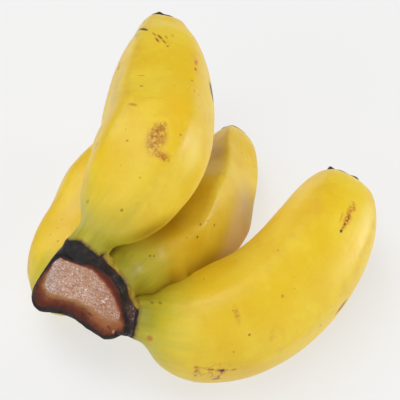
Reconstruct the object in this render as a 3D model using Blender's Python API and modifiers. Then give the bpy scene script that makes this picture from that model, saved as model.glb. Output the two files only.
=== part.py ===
"""A small hand of four baby bananas on their cut crown, lying on a flat surface.

Metres, +Z up, origin under the middle of the hand on the surface it lies on.
The crown points to -Y and the fruits' tips to +Y. Each fruit is a loft: a
rounded five-sided section that is carried along a smooth centre line, with
one shared taper from the neck to the blunt blossom end.
"""

import math

import bmesh
import bpy
import numpy as np
from mathutils import Matrix, Vector

MM = 0.001

# ---------------------------------------------------------------- dimensions
RING_SIDES = 10  # cage points round a fruit, two for each of its five sides
RINGS = 21  # cage rings from the neck to the blossom end
RIDGE = 0.022  # how far the five long ridges stand out, as part of the radius
SEAM = 8.0 * MM  # along each neck, where the fruit ends and its root on the crown begins
GAP = 0.3 * MM  # clearance between pieces that touch
ROOT_START = 1.0 * MM  # how far inside the crown's back each neck root begins
ROOT_FLARE = 0.12  # how much wider a neck root is inside the crown than at the seam

# The taper shared by all fruits: (part of the length, part of the largest radius).
# A slim neck, a quick shoulder, a long body and a blunt blossom end.
TAPER = (
    (0.00, 0.34),
    (0.05, 0.35),
    (0.12, 0.63),
    (0.22, 0.82),
    (0.36, 0.94),
    (0.52, 1.00),
    (0.68, 0.91),
    (0.81, 0.79),
    (0.90, 0.64),
    (0.96, 0.47),
    (1.00, 0.28),
)
# Where along the length a fruit can be fuller or slimmer than the taper, and over how much of it.
SHOULDER_AT, SHOULDER_SPREAD = 0.22, 0.13
END_AT, END_SPREAD = 0.92, 0.10

# Moves the hand so that the origin lies under the middle of it.
PLACE = np.array((-0.6, 0.25, 0.0)) * MM

# Each fruit: its largest radius in mm, how much fuller it is at the shoulder and at the end,
# and the points that its centre line passes, in mm, from the crown to the tip.
FRUITS = {
    "banana_top": (
        16.9, 0.04, -0.09,
        ((-33.5, -28.0, 36.5), (-20.5, -16.5, 49.0), (-14.0, -3.5, 53.0), (-13.0, 12.0, 50.0), (-12.5, 32.0, 48.0), (-12.5, 56.5, 46.0)),
    ),
    "banana_middle": (
        15.6, -0.08, -0.17,
        ((-24.5, -34.5, 30.5), (-17.5, -21.5, 23.0), (-6.0, -9.5, 18.5), (1.0, 5.0, 15.2), (7.0, 21.0, 12.5), (10.5, 41.5, 9.2)),
    ),
    "banana_right": (
        17.7, 0.10, 0.12,
        ((-21.5, -40.5, 21.0), (-1.5, -42.0, 17.6), (14.0, -36.5, 17.2), (27.0, -25.0, 17.2), (37.5, -8.0, 19.1), (44.5, 13.0, 19.5)),
    ),
    "banana_left": (
        14.2, -0.04, 0.16,
        ((-38.0, -31.0, 23.0), (-42.0, -22.5, 12.7), (-39.5, -7.0, 12.6), (-31.0, 10.0, 13.6), (-21.0, 28.5, 14.0), (-10.0, 51.0, 16.0)),
    ),
}
RESTING = ("banana_middle", "banana_right", "banana_left")

# The crown: a flat cut face with an outline like a fat bean, and a short wall behind it.
CUT_CENTRE = Vector((-34.0, -37.5, 30.5)) * MM + Vector(PLACE)
CUT_NORMAL = Vector((-0.42, -0.84, 0.35)).normalized()
CUT_DEPTH = 6.5 * MM
CUT_OUTLINE = (  # mm in the cut's own plane, to the right and up, clockwise from the upper left
    (-9.0, 7.5), (-5.0, 8.5), (0.5, 9.0), (5.5, 7.0), (9.5, 3.5), (12.5, -0.5), (15.0, -5.0), (15.5, -9.0), (13.5, -11.0),
    (9.5, -13.0), (4.0, -12.0), (-2.0, -10.5), (-7.5, -11.0), (-12.5, -12.5), (-15.0, -10.0), (-14.5, -5.0), (-12.0, 1.5),
)
OUTLINE_POINTS = 40
BACK_SCALE = 1.05  # the wall flares a little towards the necks
BACK_SHIFT = (-0.4 * MM, 0.8 * MM)
CUSHION_DEPTH = 10.0 * MM  # the back of the crown bulges between the necks
CUSHION_SCALE = 0.48
CUSHION_SHIFT = (3.0 * MM, 4.5 * MM)
RIM_BEVEL = 0.9 * MM

# ------------------------------------------------------------------- scene
for old in list(bpy.data.objects):
    bpy.data.objects.remove(old, do_unlink=True)

scene = bpy.context.scene
scene.unit_settings.system = "METRIC"
scene.unit_settings.scale_length = 1.0

parts = bpy.data.collections.new("baby_banana_hand")
cutters = bpy.data.collections.new("cutters")
scene.collection.children.link(parts)
scene.collection.children.link(cutters)


def material(name, colour, roughness):
    made = bpy.data.materials.new(name)
    made.use_nodes = True
    shader = made.node_tree.nodes["Principled BSDF"]
    shader.inputs["Base Color"].default_value = (*colour, 1.0)
    shader.inputs["Roughness"].default_value = roughness
    shader.inputs["Metallic"].default_value = 0.0
    return made


def add(name, bm, look, collection):
    """One object from a bmesh, its faces turned outwards."""
    bmesh.ops.recalc_face_normals(bm, faces=bm.faces)
    mesh = bpy.data.meshes.new(name)
    bm.to_mesh(mesh)
    bm.free()
    mesh.shade_smooth()
    made = bpy.data.objects.new(name, mesh)
    collection.objects.link(made)
    if look:
        mesh.materials.append(look)
    return made


def as_cutter(made):
    made.hide_render = True
    made.display_type = "WIRE"
    return made


# ----------------------------------------------------------- centre lines
def catmull(points, n, closed=False):
    """A smooth curve through the points, resampled to n points at even steps."""
    points = np.asarray(points, float)
    if closed:
        ring = np.vstack([points[-1], points, points[0], points[1]])
    else:
        ring = np.vstack([2 * points[0] - points[1], points, 2 * points[-1] - points[-2]])
    dense = []
    for i in range(1, len(ring) - 2):
        a, b, c, d = ring[i - 1 : i + 3]
        for t in np.linspace(0, 1, 120, endpoint=False):
            dense.append(
                0.5 * (2 * b + (c - a) * t + (2 * a - 5 * b + 4 * c - d) * t**2 + (3 * b - a - 3 * c + d) * t**3)
            )
    dense.append(ring[-2])
    dense = np.array(dense)
    run = np.r_[0, np.cumsum(np.linalg.norm(np.diff(dense, axis=0), axis=1))]
    at = np.linspace(0, run[-1], n, endpoint=not closed)
    return np.stack([np.interp(at, run, dense[:, k]) for k in range(dense.shape[1])], 1), run[-1]


def frames(line):
    """Tangents and two cross directions that don't twist along the line."""
    tangent = np.gradient(line, axis=0)
    tangent /= np.linalg.norm(tangent, axis=1, keepdims=True)
    side = np.cross(tangent[0], (0, 0, 1.0))
    side /= np.linalg.norm(side)
    sides = []
    for t in tangent:
        side = side - t * (side @ t)
        side /= np.linalg.norm(side)
        sides.append(side)
    sides = np.array(sides)
    return tangent, sides, np.cross(tangent, sides)


def taper(part):
    """The radius at a part of the length, as a share of the largest, smoothly between the table's rows."""
    at, value = np.array(TAPER).T
    slope = np.gradient(value, at)
    slope[0] = slope[-1] = 0
    i = int(np.clip(np.searchsorted(at, part) - 1, 0, len(at) - 2))
    h = at[i + 1] - at[i]
    t = (part - at[i]) / h
    return (
        (2 * t**3 - 3 * t**2 + 1) * value[i]
        + (t**3 - 2 * t**2 + t) * h * slope[i]
        + (3 * t**2 - 2 * t**3) * value[i + 1]
        + (t**3 - t**2) * h * slope[i + 1]
    )


# A coarse ring shrinks when it is subdivided, so the cage is that much wider.
SHRINK = 0.75 + 0.25 * math.cos(2 * math.pi / RING_SIDES)


class Centre:
    """One fruit's centre line, sampled finely, with its untwisted frame."""

    def __init__(self, radius, shoulder, end, points):
        self.radius, self.shoulder, self.end = radius * MM, shoulder, end
        self.line, self.length = catmull(np.array(points) * MM + PLACE, 240)
        self.tangent, self.side, self.up = frames(self.line)

    def ring(self, bm, along, scale=1.0):
        """A ring of cage points at a distance along the line; a distance below 0 runs on straight."""
        k = np.clip(along / self.length, 0, 1) * (len(self.line) - 1)
        i = min(int(k), len(self.line) - 2)
        f = k - i

        def mix(values):
            return values[i] * (1 - f) + values[i + 1] * f

        centre = mix(self.line) + self.tangent[0] * min(along, 0.0)
        part = min(max(along / self.length, 0.0), 1.0)
        fuller = 1 + self.shoulder * math.exp(-(((part - SHOULDER_AT) / SHOULDER_SPREAD) ** 2))
        fuller += self.end * math.exp(-(((part - END_AT) / END_SPREAD) ** 2))
        radius = self.radius * taper(part) * fuller * scale / SHRINK
        made = bmesh.ops.create_circle(bm, segments=RING_SIDES, radius=1.0)["verts"]
        side, up = Vector(mix(self.side)), Vector(mix(self.up))
        fade = min(1.0, max(0.0, (along / self.length - 0.06) * 8))
        for j, vert in enumerate(made):
            angle = 2 * math.pi * j / RING_SIDES
            reach = radius * (1 + fade * RIDGE * math.cos(5 * angle))
            vert.co = Vector(centre) + (side * math.cos(angle) + up * math.sin(angle)) * reach
        return made


def skin(bm, rings):
    """Joins the rings one to the next and closes both ends."""
    for first, second in zip(rings, rings[1:]):
        n = len(first)
        for j in range(n):
            bm.faces.new((first[j], first[(j + 1) % n], second[(j + 1) % n], second[j]))
    bm.faces.new(rings[0][::-1])
    bm.faces.new(rings[-1])


def crease_ring(bm, ring, amount):
    layer = bm.edges.layers.float.get("crease_edge") or bm.edges.layers.float.new("crease_edge")
    members = set(ring)
    for edge in bm.edges:
        if edge.verts[0] in members and edge.verts[1] in members:
            edge[layer] = amount


def subdivide(made, levels):
    modifier = made.modifiers.new("Subdivision", "SUBSURF")
    modifier.levels = modifier.render_levels = levels
    return modifier


centres = {name: Centre(*given) for name, given in FRUITS.items()}

# ------------------------------------------------------------------ fruits
skins = {
    "banana_top": (0.86, 0.66, 0.08),
    "banana_middle": (0.80, 0.56, 0.06),
    "banana_right": (0.84, 0.60, 0.07),
    "banana_left": (0.86, 0.66, 0.10),
}

# The surface that the hand lies on presses a small flat on each fruit that rests on it.
bm = bmesh.new()
bmesh.ops.create_cube(bm, size=1.0)
bmesh.ops.transform(bm, matrix=Matrix.Translation((0, 0, -0.05)) @ Matrix.Diagonal((0.3, 0.3, 0.1, 1)), verts=bm.verts)
surface = as_cutter(add("resting_surface", bm, None, cutters))

for name, centre in centres.items():
    bm = bmesh.new()
    rings = []
    for k in range(RINGS):
        part = k / (RINGS - 1)
        # Rings stand closer together at the shoulder and at the tip, where the taper turns.
        eased = part + 0.045 * math.sin(2 * math.pi * part) * (1 if part < 0.5 else 0.6)
        rings.append(centre.ring(bm, SEAM + GAP + (centre.length - SEAM - GAP) * eased))
    bm.edges.ensure_lookup_table()
    bmesh.ops.delete(bm, geom=[f for f in bm.faces], context="FACES_ONLY")
    skin(bm, rings)
    crease_ring(bm, rings[0], 1.0)
    crease_ring(bm, rings[-1], 0.6)
    fruit = add(name, bm, material(name + "_peel", skins[name], 0.45), parts)
    subdivide(fruit, 1)
    if name in RESTING:
        flat = fruit.modifiers.new("Resting flat", "BOOLEAN")
        flat.operation = "DIFFERENCE"
        flat.solver = "EXACT"
        flat.object = surface

# ------------------------------------------------------------------- crown
right = Vector((0, 0, 1)).cross(CUT_NORMAL).normalized()
up = CUT_NORMAL.cross(right)


def outline(bm, scale, shift, depth):
    points, _ = catmull(np.array(CUT_OUTLINE) * MM, OUTLINE_POINTS, closed=True)
    middle = points.mean(axis=0)
    made = []
    for point in points:
        x, y = middle + (point - middle) * scale + shift
        made.append(bm.verts.new(CUT_CENTRE + right * x + up * y - CUT_NORMAL * depth))
    return made


bm = bmesh.new()
front = outline(bm, 1.0, (0, 0), 0)
back = outline(bm, BACK_SCALE, BACK_SHIFT, CUT_DEPTH)
skin(bm, [front, back, outline(bm, CUSHION_SCALE, CUSHION_SHIFT, CUSHION_DEPTH)])
crown = add("crown", bm, material("crown_bark", (0.10, 0.045, 0.03), 0.7), parts)
rim = crown.modifiers.new("Rim", "BEVEL")
rim.width = RIM_BEVEL
rim.segments = 2
rim.limit_method = "ANGLE"
rim.angle_limit = math.radians(50)

for name, centre in centres.items():
    bm = bmesh.new()
    rings = []
    for along in np.linspace(-ROOT_START, SEAM, 6):
        inward = (SEAM - along) / (SEAM + ROOT_START)
        rings.append(centre.ring(bm, along, 1 + ROOT_FLARE * inward**2))
    skin(bm, rings)
    crease_ring(bm, rings[0], 1.0)
    crease_ring(bm, rings[-1], 1.0)
    root = as_cutter(add("neck_root_" + name.split("_")[1], bm, None, cutters))
    subdivide(root, 1)
    join = crown.modifiers.new("Join " + root.name, "BOOLEAN")
    join.operation = "UNION"
    join.solver = "EXACT"
    join.object = root
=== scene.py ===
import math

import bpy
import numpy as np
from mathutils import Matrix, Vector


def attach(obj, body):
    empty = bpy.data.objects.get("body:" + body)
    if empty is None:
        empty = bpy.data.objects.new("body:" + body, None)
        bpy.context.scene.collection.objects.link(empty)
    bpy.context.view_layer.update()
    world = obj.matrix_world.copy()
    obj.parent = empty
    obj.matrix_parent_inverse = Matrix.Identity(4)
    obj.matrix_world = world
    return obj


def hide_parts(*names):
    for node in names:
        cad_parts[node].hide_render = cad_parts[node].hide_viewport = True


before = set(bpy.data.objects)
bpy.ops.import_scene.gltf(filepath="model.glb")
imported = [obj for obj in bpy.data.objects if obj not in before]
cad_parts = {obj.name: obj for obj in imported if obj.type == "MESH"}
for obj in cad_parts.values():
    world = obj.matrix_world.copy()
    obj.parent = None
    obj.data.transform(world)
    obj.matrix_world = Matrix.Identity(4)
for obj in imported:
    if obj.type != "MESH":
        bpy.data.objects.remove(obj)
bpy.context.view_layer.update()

# The looks of a small hand of four baby bananas on its cut crown.
# All shapes below are worked out in millimetres, in the row frame, and turned
# into metres when the meshes are made. Each fruit is a dense loft along the same
# centre line as its solid, with five soft ridges, a blunt blossom end and a neck
# that flows into the crown.

MM = 0.001
scene = bpy.context.scene
PLACE = np.array((-0.6, 0.25, 0.0))

# ------------------------------------------------------------ small helpers


def rgb(r, g, b):
    """A colour given as 0-255 screen values, in the linear values that shaders use."""
    out = []
    for c in (r, g, b):
        c /= 255.0
        out.append(c / 12.92 if c <= 0.04045 else ((c + 0.055) / 1.055) ** 2.4)
    return (*out, 1.0)


def smooth(x, lo, hi):
    t = np.clip((np.asarray(x, float) - lo) / (hi - lo), 0, 1)
    return t * t * (3 - 2 * t)


def unit(v):
    v = np.asarray(v, float)
    return v / np.linalg.norm(v)


def lattice(i, j, k, seed):
    n = (i * 374761393 + j * 668265263 + k * 1274126177 + seed * 974634777) & 0xFFFFFFFF
    n = ((n ^ (n >> 13)) * 1103515245) & 0xFFFFFFFF
    n = ((n ^ (n >> 16)) * 2654435761) & 0xFFFFFFFF
    return (n ^ (n >> 15)).astype(float) / 0xFFFFFFFF


def noise(points, size, seed=0, octaves=1):
    """Smooth value noise from -1 to 1 at points in mm, with features of about that size in mm."""
    total, weight, amount = 0.0, 0.0, 1.0
    for o in range(octaves):
        q = points / size
        base = np.floor(q).astype(np.int64)
        f = q - base
        f = f * f * f * (f * (f * 6 - 15) + 10)
        value = 0.0
        for a in (0, 1):
            for b in (0, 1):
                for c in (0, 1):
                    w = (f[:, 0] if a else 1 - f[:, 0]) * (f[:, 1] if b else 1 - f[:, 1]) * (f[:, 2] if c else 1 - f[:, 2])
                    value = value + w * lattice(base[:, 0] + a, base[:, 1] + b, base[:, 2] + c, seed + o)
        total = total + amount * (2 * value - 1)
        weight += amount
        amount *= 0.5
        size *= 0.5
    return total / weight


def catmull(points, n, closed=False):
    """A smooth curve through the points, resampled to n points at even steps."""
    points = np.asarray(points, float)
    if closed:
        ring = np.vstack([points[-1], points, points[0], points[1]])
    else:
        ring = np.vstack([2 * points[0] - points[1], points, 2 * points[-1] - points[-2]])
    dense = []
    for i in range(1, len(ring) - 2):
        a, b, c, d = ring[i - 1 : i + 3]
        t = np.linspace(0, 1, 120, endpoint=False)[:, None]
        dense.append(0.5 * (2 * b + (c - a) * t + (2 * a - 5 * b + 4 * c - d) * t**2 + (3 * b - a - 3 * c + d) * t**3))
    dense = np.vstack(dense + [ring[-2]])
    run = np.r_[0, np.cumsum(np.linalg.norm(np.diff(dense, axis=0), axis=1))]
    at = np.linspace(0, run[-1], n, endpoint=not closed)
    return np.stack([np.interp(at, run, dense[:, k]) for k in range(dense.shape[1])], 1), run[-1]


def frames(line):
    """Tangents and two cross directions that don't twist along the line."""
    tangent = np.gradient(line, axis=0)
    tangent /= np.linalg.norm(tangent, axis=1, keepdims=True)
    side = unit(np.cross(tangent[0], (0, 0, 1.0)))
    sides = []
    for t in tangent:
        side = side - t * (side @ t)
        side = side / np.linalg.norm(side)
        sides.append(side)
    sides = np.array(sides)
    return tangent, sides, np.cross(tangent, sides)


def hermite(at, value, x):
    """A smooth curve through a table, with slopes that don't overshoot."""
    at, value, x = np.asarray(at, float), np.asarray(value, float), np.asarray(x, float)
    step = np.diff(value) / np.diff(at)
    slope = np.zeros(len(at))
    slope[0], slope[-1] = step[0], step[-1]
    for i in range(1, len(at) - 1):
        if step[i - 1] * step[i] > 0:
            h0, h1 = at[i] - at[i - 1], at[i + 1] - at[i]
            w0, w1 = 2 * h1 + h0, h1 + 2 * h0
            slope[i] = (w0 + w1) / (w0 / step[i - 1] + w1 / step[i])
    i = np.clip(np.searchsorted(at, x, side="right") - 1, 0, len(at) - 2)
    h = at[i + 1] - at[i]
    t = np.clip((x - at[i]) / h, 0, 1)
    return (
        (2 * t**3 - 3 * t**2 + 1) * value[i]
        + (t**3 - 2 * t**2 + t) * h * slope[i]
        + (3 * t**2 - 2 * t**3) * value[i + 1]
        + (t**3 - t**2) * h * slope[i + 1]
    )


def make_mesh(name, points, faces, attributes):
    """A smooth mesh from points in mm and a list of quad and triangle arrays, with its point attributes."""
    mesh = bpy.data.meshes.new(name)
    mesh.vertices.add(len(points))
    mesh.vertices.foreach_set("co", (points * MM).astype(np.float32).ravel())
    loops = np.concatenate([f.ravel() for f in faces]).astype(np.int32)
    sizes = np.concatenate([np.full(len(f), f.shape[1]) for f in faces]).astype(np.int32)
    mesh.loops.add(len(loops))
    mesh.loops.foreach_set("vertex_index", loops)
    mesh.polygons.add(len(sizes))
    mesh.polygons.foreach_set("loop_start", np.r_[0, np.cumsum(sizes)[:-1]].astype(np.int32))
    mesh.polygons.foreach_set("loop_total", sizes)
    mesh.update(calc_edges=True)
    mesh.validate()
    mesh.shade_smooth()
    for key, values in attributes.items():
        values = np.asarray(values, np.float32)
        if values.ndim == 1:
            mesh.attributes.new(key, "FLOAT", "POINT").data.foreach_set("value", values)
        else:
            mesh.attributes.new(key, "FLOAT_VECTOR", "POINT").data.foreach_set("vector", values.ravel())
    made = bpy.data.objects.new(name, mesh)
    scene.collection.objects.link(made)
    return made


def tube_faces(rows, around):
    """Quads between rows of points, each row closed round."""
    r = np.arange(rows - 1)[:, None] * around
    j = np.arange(around)[None, :]
    k = (j + 1) % around
    return np.stack([r + j, r + k, r + around + k, r + around + j], -1).reshape(-1, 4)


# ------------------------------------------------------------------ fruits
AROUND = 256
STATIONS = (0, 0.05, 0.12, 0.22, 0.36, 0.52, 0.68, 0.81, 0.90, 0.96, 1)
EYE = np.array((0.0, -math.cos(math.radians(50)), math.sin(math.radians(50))))

# For each fruit: the centre line's points and the radius at each station (mm); the angle of one
# ridge (degrees round from the side that faces the viewer) at the neck, the middle and the tip;
# how strong and how sharp the ridges are and how much that one leads; which side of the end is cut
# lower and by how much; how far before the line's end the skin stops; where the end's edge is
# pulled out and how far; the dark collar's height; its nubs, each at an angle, with a
# height and a half width in degrees; how the root narrows inside the crown; and any swellings (mm
# along, degrees round, mm out, half length, half width in degrees), and how often the neck is evened.
FRUITS = {
    "banana_top": dict(
        points=((-33.6, -27.9, 36.7), (-20.4, -16.3, 48.9), (-14.2, -3.4, 52.9), (-12.8, 11.9, 50.0), (-12.3, 32.0, 47.9), (-12.7, 56.4, 46.2)),
        radii=(5.4, 5.4, 10.4, 14.3, 16.6, 16.7, 15.5, 13.1, 9.8, 7.3, 4.4),
        ridge=(-72, -35, -20),
        strength=0.9,
        sharp=9.5,
        main=0.6,
        tilt=(62, 1.5),
        short=1.15,
        pull=(76, 0.8),
        collar=0.46,
        nubs=((-4, 0.7, 11), (30, 0.25, 20), (72, 0.8, 14), (-118, 0.5, 20), (165, 0.4, 30)),
        root=(0.75, -3.5, -1.0),
        seed=11,
    ),
    "banana_middle": dict(
        points=((-24.5, -34.5, 30.5), (-17.3, -21.3, 23.0), (-5.9, -9.4, 18.6), (0.9, 5.0, 15.2), (6.8, 21.2, 12.3), (10.5, 41.7, 9.2)),
        radii=(5.6, 5.6, 9.4, 11.3, 14.3, 16.05, 13.05, 10.4, 8.5, 6.5, 4.5),
        ridge=(-12, -2, -14),
        strength=1.2,
        sharp=16,
        main=0.45,
        tilt=(0, 0.3),
        short=0.75,
        pull=(-30, 0.2),
        collar=0.16,
        nubs=((-58, 0.35, 20), (6, 0.15, 26), (120, 0.5, 25)),
        root=(0.5, -2.5, 2.0),
        swell=((11.0, 98, 1.5, 5.0, 38), (6.5, -78, 2.2, 4.5, 42), (56, 82, -0.85, 15, 55)),
        even=80,
        seed=23,
    ),
    "banana_right": dict(
        points=((-21.5, -40.3, 20.8), (-1.7, -41.9, 17.8), (13.9, -36.5, 17.5), (26.9, -24.8, 17.7), (37.5, -8.1, 19.3), (44.4, 13.1, 19.3)),
        radii=(5.7, 5.9, 11.8, 16.0, 17.6, 17.3, 16.4, 14.9, 12.6, 9.2, 4.5),
        ridge=(-30, -32, -24),
        strength=0.6,
        sharp=12,
        main=0.3,
        tilt=(5, 0.7),
        short=1.35,
        pull=(-48, 0.8),
        collar=0.28,
        nubs=((-54, 1.5, 13), (34, 0.75, 18), (150, 0.5, 25)),
        root=(0.4, -2.0, 4.0),
        swell=((3.0, -94, 0.9, 3.5, 40),),
        seed=37,
    ),
    "banana_left": dict(
        points=((-38.0, -31.1, 22.9), (-42.1, -22.7, 12.7), (-39.6, -7.1, 13.3), (-30.9, 9.9, 14.2), (-20.8, 28.4, 14.4), (-10.2, 51.0, 15.9)),
        radii=(5.6, 6.4, 9.6, 11.5, 11.7, 14.3, 13.3, 12.7, 10.3, 7.2, 4.4),
        ridge=(-58, -60, -50),
        strength=0.6,
        sharp=12,
        main=0.3,
        tilt=(50, 0.6),
        short=0.75,
        pull=(40, 0.3),
        collar=0.3,
        nubs=((-30, 0.7, 16), (62, 0.6, 20), (170, 0.5, 25)),
        root=(0.35, -2.0, 3.5),
        swell=((8.0, -50, -1.0, 4.0, 40), (11.3, -104, -1.7, 5.5, 34)),
        even=700,
        seed=53,
    ),
}


def pentagon(angle, sharp=9.0):
    """A rounded five-sided section: about 0 on average, 1 on a ridge."""
    total = 0.0
    for k in range(5):
        total = total + np.maximum(np.cos(angle - math.pi / 5 - 2 * math.pi * k / 5), 1e-9) ** sharp
    r = total ** (-1 / sharp)
    peak = (2 * math.cos(math.pi / 5) ** sharp) ** (-1 / sharp)
    mean = 0.5 * (1 + peak) - 0.012
    return (r - mean) / (peak - mean)


class Fruit:
    """One fruit's centre line, frame and section, all in mm."""

    def __init__(self, name, given):
        self.name, self.given = name, given
        self.line, self.length = catmull(np.array(given["points"]) + PLACE, 461)
        self.tangent, self.side, self.up = frames(self.line)
        self.at = np.linspace(0, self.length, len(self.line))
        # The angle round the section at which the side that faces the viewer lies.
        view = np.arctan2(self.up @ EYE, self.side @ EYE)
        self.view = np.unwrap(view)
        # The ridges must not change the outline that the viewer sees: what each side of it needs.
        self.fit_at = np.linspace(-3, self.length, 90)
        self.fit_right, self.fit_left = np.zeros(90), np.zeros(90)
        turn = np.linspace(0, 2 * math.pi, 540, endpoint=False)
        for i, s in enumerate(self.fit_at):
            at = np.full(len(turn), s)
            r = self.plain_section(at, turn + np.interp(s, self.at, self.view))
            self.fit_right[i] = self.radius(s) / (r * np.sin(turn)).max() - 1
            self.fit_left[i] = self.radius(s) / (-r * np.sin(turn)).max() - 1

    def radius(self, s):
        return hermite(STATIONS, self.given["radii"], np.clip(s / self.length, 0, 1))

    def plain_section(self, s, angle):
        """The radius at a distance along and an angle round, with the ridges."""
        part = np.clip(s / self.length, 0, 1)
        phase = np.radians(hermite((0, 0.5, 1), self.given["ridge"], part)) + np.interp(s, self.at, self.view)
        fade = smooth(part, 0.06, 0.3) * (1 - 0.45 * smooth(part, 0.86, 1.0))
        main = self.given["main"]
        swing = 0.075 * self.given["strength"] * fade * (1 - main + main * np.cos(angle - phase))
        return self.radius(s) * (1 + swing * pentagon(angle - phase, self.given["sharp"]))

    def section(self, s, angle):
        """The same, held to the outline, narrowed inside the crown and pulled out at the tip."""
        facing = angle - np.interp(s, self.at, self.view)
        side = np.sin(facing)
        right, left = np.interp(s, self.fit_at, self.fit_right), np.interp(s, self.fit_at, self.fit_left)
        r = self.plain_section(s, angle) * (1 + 0.5 * (right * (1 + side) + left * (1 - side)))
        least, lo, hi = self.given["root"]
        r = r * (least + (1 - least) * smooth(s, lo, hi))
        at, extra = self.given["pull"]
        off = np.degrees((facing - math.radians(at) + math.pi) % (2 * math.pi) - math.pi)
        r = r + extra * np.exp(-((off / 42) ** 2)) * smooth(s, self.length - 9, self.length - 0.5)
        for s0, at, extra, half_s, half_at in self.given.get("swell", ()):
            off = np.degrees((facing - math.radians(at) + math.pi) % (2 * math.pi) - math.pi)
            r = r + extra * np.exp(-((off / half_at) ** 2) - ((s - s0) / half_s) ** 2)
        return r

    def at_distance(self, s):
        """Centre and frame at distances along; below 0 and past the end the line runs on straight."""
        x = np.clip(s, 0, self.length)

        def mix(values):
            return np.stack([np.interp(x, self.at, values[:, k]) for k in range(3)], -1)

        centre, t, a, b = mix(self.line), mix(self.tangent), mix(self.side), mix(self.up)
        return centre + t * (s - x)[..., None], t, a, b

    def distance(self, q):
        """About the signed distance from points to this fruit's skin, and the distance along."""
        near = self.line[: int(len(self.line) * 0.55) : 4]
        best = np.argmin(
            (q**2).sum(1)[:, None] - 2 * q @ near.T + (near**2).sum(1)[None], axis=1
        )
        best = np.minimum(best * 4, len(self.line) - 1)
        rel = q - self.line[best]
        s = self.at[best] + (rel * self.tangent[best]).sum(1)
        centre, t, a, b = self.at_distance(s)
        rel = q - centre
        x, y = (rel * a).sum(1), (rel * b).sum(1)
        r = self.section(s, np.arctan2(y, x))
        slope = (self.radius(s + 0.5) - self.radius(s - 0.5)) / 1.0
        return (np.hypot(x, y) - r) / np.sqrt(1 + slope**2), s


fruits = {name: Fruit(name, given) for name, given in FRUITS.items()}

# ------------------------------------------------------------------- crown
CUT_CENTRE = np.array((-34.0, -37.5, 30.5)) + PLACE
CUT_NORMAL = unit((-0.42, -0.84, 0.35))
CUT_RIGHT = unit(np.cross((0, 0, 1.0), CUT_NORMAL))
CUT_UP = np.cross(CUT_NORMAL, CUT_RIGHT)
CUT_DEPTH = 6.5
CUT_OUTLINE = (
    (-9.0, 7.5), (-5.0, 8.5), (0.5, 9.0), (5.5, 7.0), (9.5, 3.5), (12.5, -0.5), (15.0, -5.0), (15.5, -9.0), (13.5, -11.0),
    (9.2, -14.0), (3.8, -13.1), (-2.0, -11.3), (-7.7, -12.0), (-13.1, -13.5), (-16.0, -10.8), (-15.0, -5.0), (-12.1, 1.5),
)
# The pale scar in the middle of the cut.
SCAR_OUTLINE = (
    (-9.4, 6.8), (-3.9, 7.2), (1.2, 7.4), (5.8, 5.2), (9.5, 1.4), (12.2, -2.8), (11.6, -5.3), (8.6, -5.9), (4.2, -4.8),
    (0.0, -4.1), (-5.4, -4.5), (-10.6, -5.5), (-11.7, -2.3), (-10.4, 3.2),
)
CROWN_AROUND = 360
outline_points, _ = catmull(CUT_OUTLINE, CROWN_AROUND, closed=True)
scar_points, _ = catmull(SCAR_OUTLINE, 200, closed=True)


def loop_distance(p, loop):
    """Signed distance from plane points to a closed loop, below 0 inside."""
    a, b = loop, np.roll(loop, -1, axis=0)
    best = np.full(len(p), 1e9)
    inside = np.zeros(len(p), bool)
    for lo in range(0, len(p), 8000):
        q = p[lo : lo + 8000, None, :]
        e = (b - a)[None]
        t = np.clip(((q - a[None]) * e).sum(-1) / (e**2).sum(-1), 0, 1)
        d = np.linalg.norm(q - a[None] - e * t[..., None], axis=-1)
        best[lo : lo + 8000] = d.min(1)
        y, ay, by = q[..., 1], a[None, :, 1], b[None, :, 1]
        cross = (ay > y) != (by > y)
        x = a[None, :, 0] + (y - ay) * (b - a)[None, :, 0] / np.where(by == ay, 1e-9, by - ay)
        inside[lo : lo + 8000] = (cross & (q[..., 0] < x)).sum(1) % 2 == 1
    return np.where(inside, -best, best)


def to_cut(q):
    """Right, up and depth behind the cut face, for points in the row frame."""
    rel = q - CUT_CENTRE
    return rel @ CUT_RIGHT, rel @ CUT_UP, -(rel @ CUT_NORMAL)


def from_cut(right, up, depth):
    return CUT_CENTRE + right[..., None] * CUT_RIGHT + up[..., None] * CUT_UP - np.asarray(depth)[..., None] * CUT_NORMAL


MIDDLE = outline_points.mean(0)
# Where the black begins on the way out over the rim (mm past the edge), by the bearing from the
# middle of the cut (degrees).
BLACK_AT = (-167, -150, -135, -120, -90, -62, -49, -33, -16, 0, 14, 35, 58, 82, 104, 133, 160)
BLACK_FROM = (0.0, -1.5, -1.9, -1.2, -1.1, -1.5, -1.7, -1.3, -0.8, 0.3, 1.2, 1.7, 1.5, 0.7, -0.3, -0.2, 0.8)
EDGE_ROUND = 2.0


def crown_distance(q):
    """About the signed distance from points to the crown's slab with its cushioned back."""
    x, y, w = to_cut(q)
    k = 1 + 0.05 * np.clip(w / CUT_DEPTH, 0, 1)
    flat = np.stack([(x - MIDDLE[0]) / k + MIDDLE[0], (y - MIDDLE[1]) / k + MIDDLE[1]], 1)
    across = loop_distance(flat, outline_points[::6])
    bulge = 3.0 * np.clip(-across / 6.0, 0, 1) ** 0.8
    deep = np.maximum(-w, w - CUT_DEPTH - bulge)
    a, b = across + EDGE_ROUND, deep + EDGE_ROUND
    return np.minimum(np.maximum(a, b), 0) + np.hypot(np.maximum(a, 0), np.maximum(b, 0)) - EDGE_ROUND


BLEND = 1.7  # how softly the necks and the crown flow together, in mm
CAP = 0.72 * BLEND


def together(q, smallest=None):
    """The smooth union of the crown and all four fruits at points near the crown."""
    total = np.exp(-np.clip(crown_distance(q), -20, 40) / BLEND)
    for fruit in fruits.values():
        total = total + np.exp(-np.clip(fruit.distance(q)[0], -20, 40) / BLEND)
    return -BLEND * np.log(total)


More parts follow.
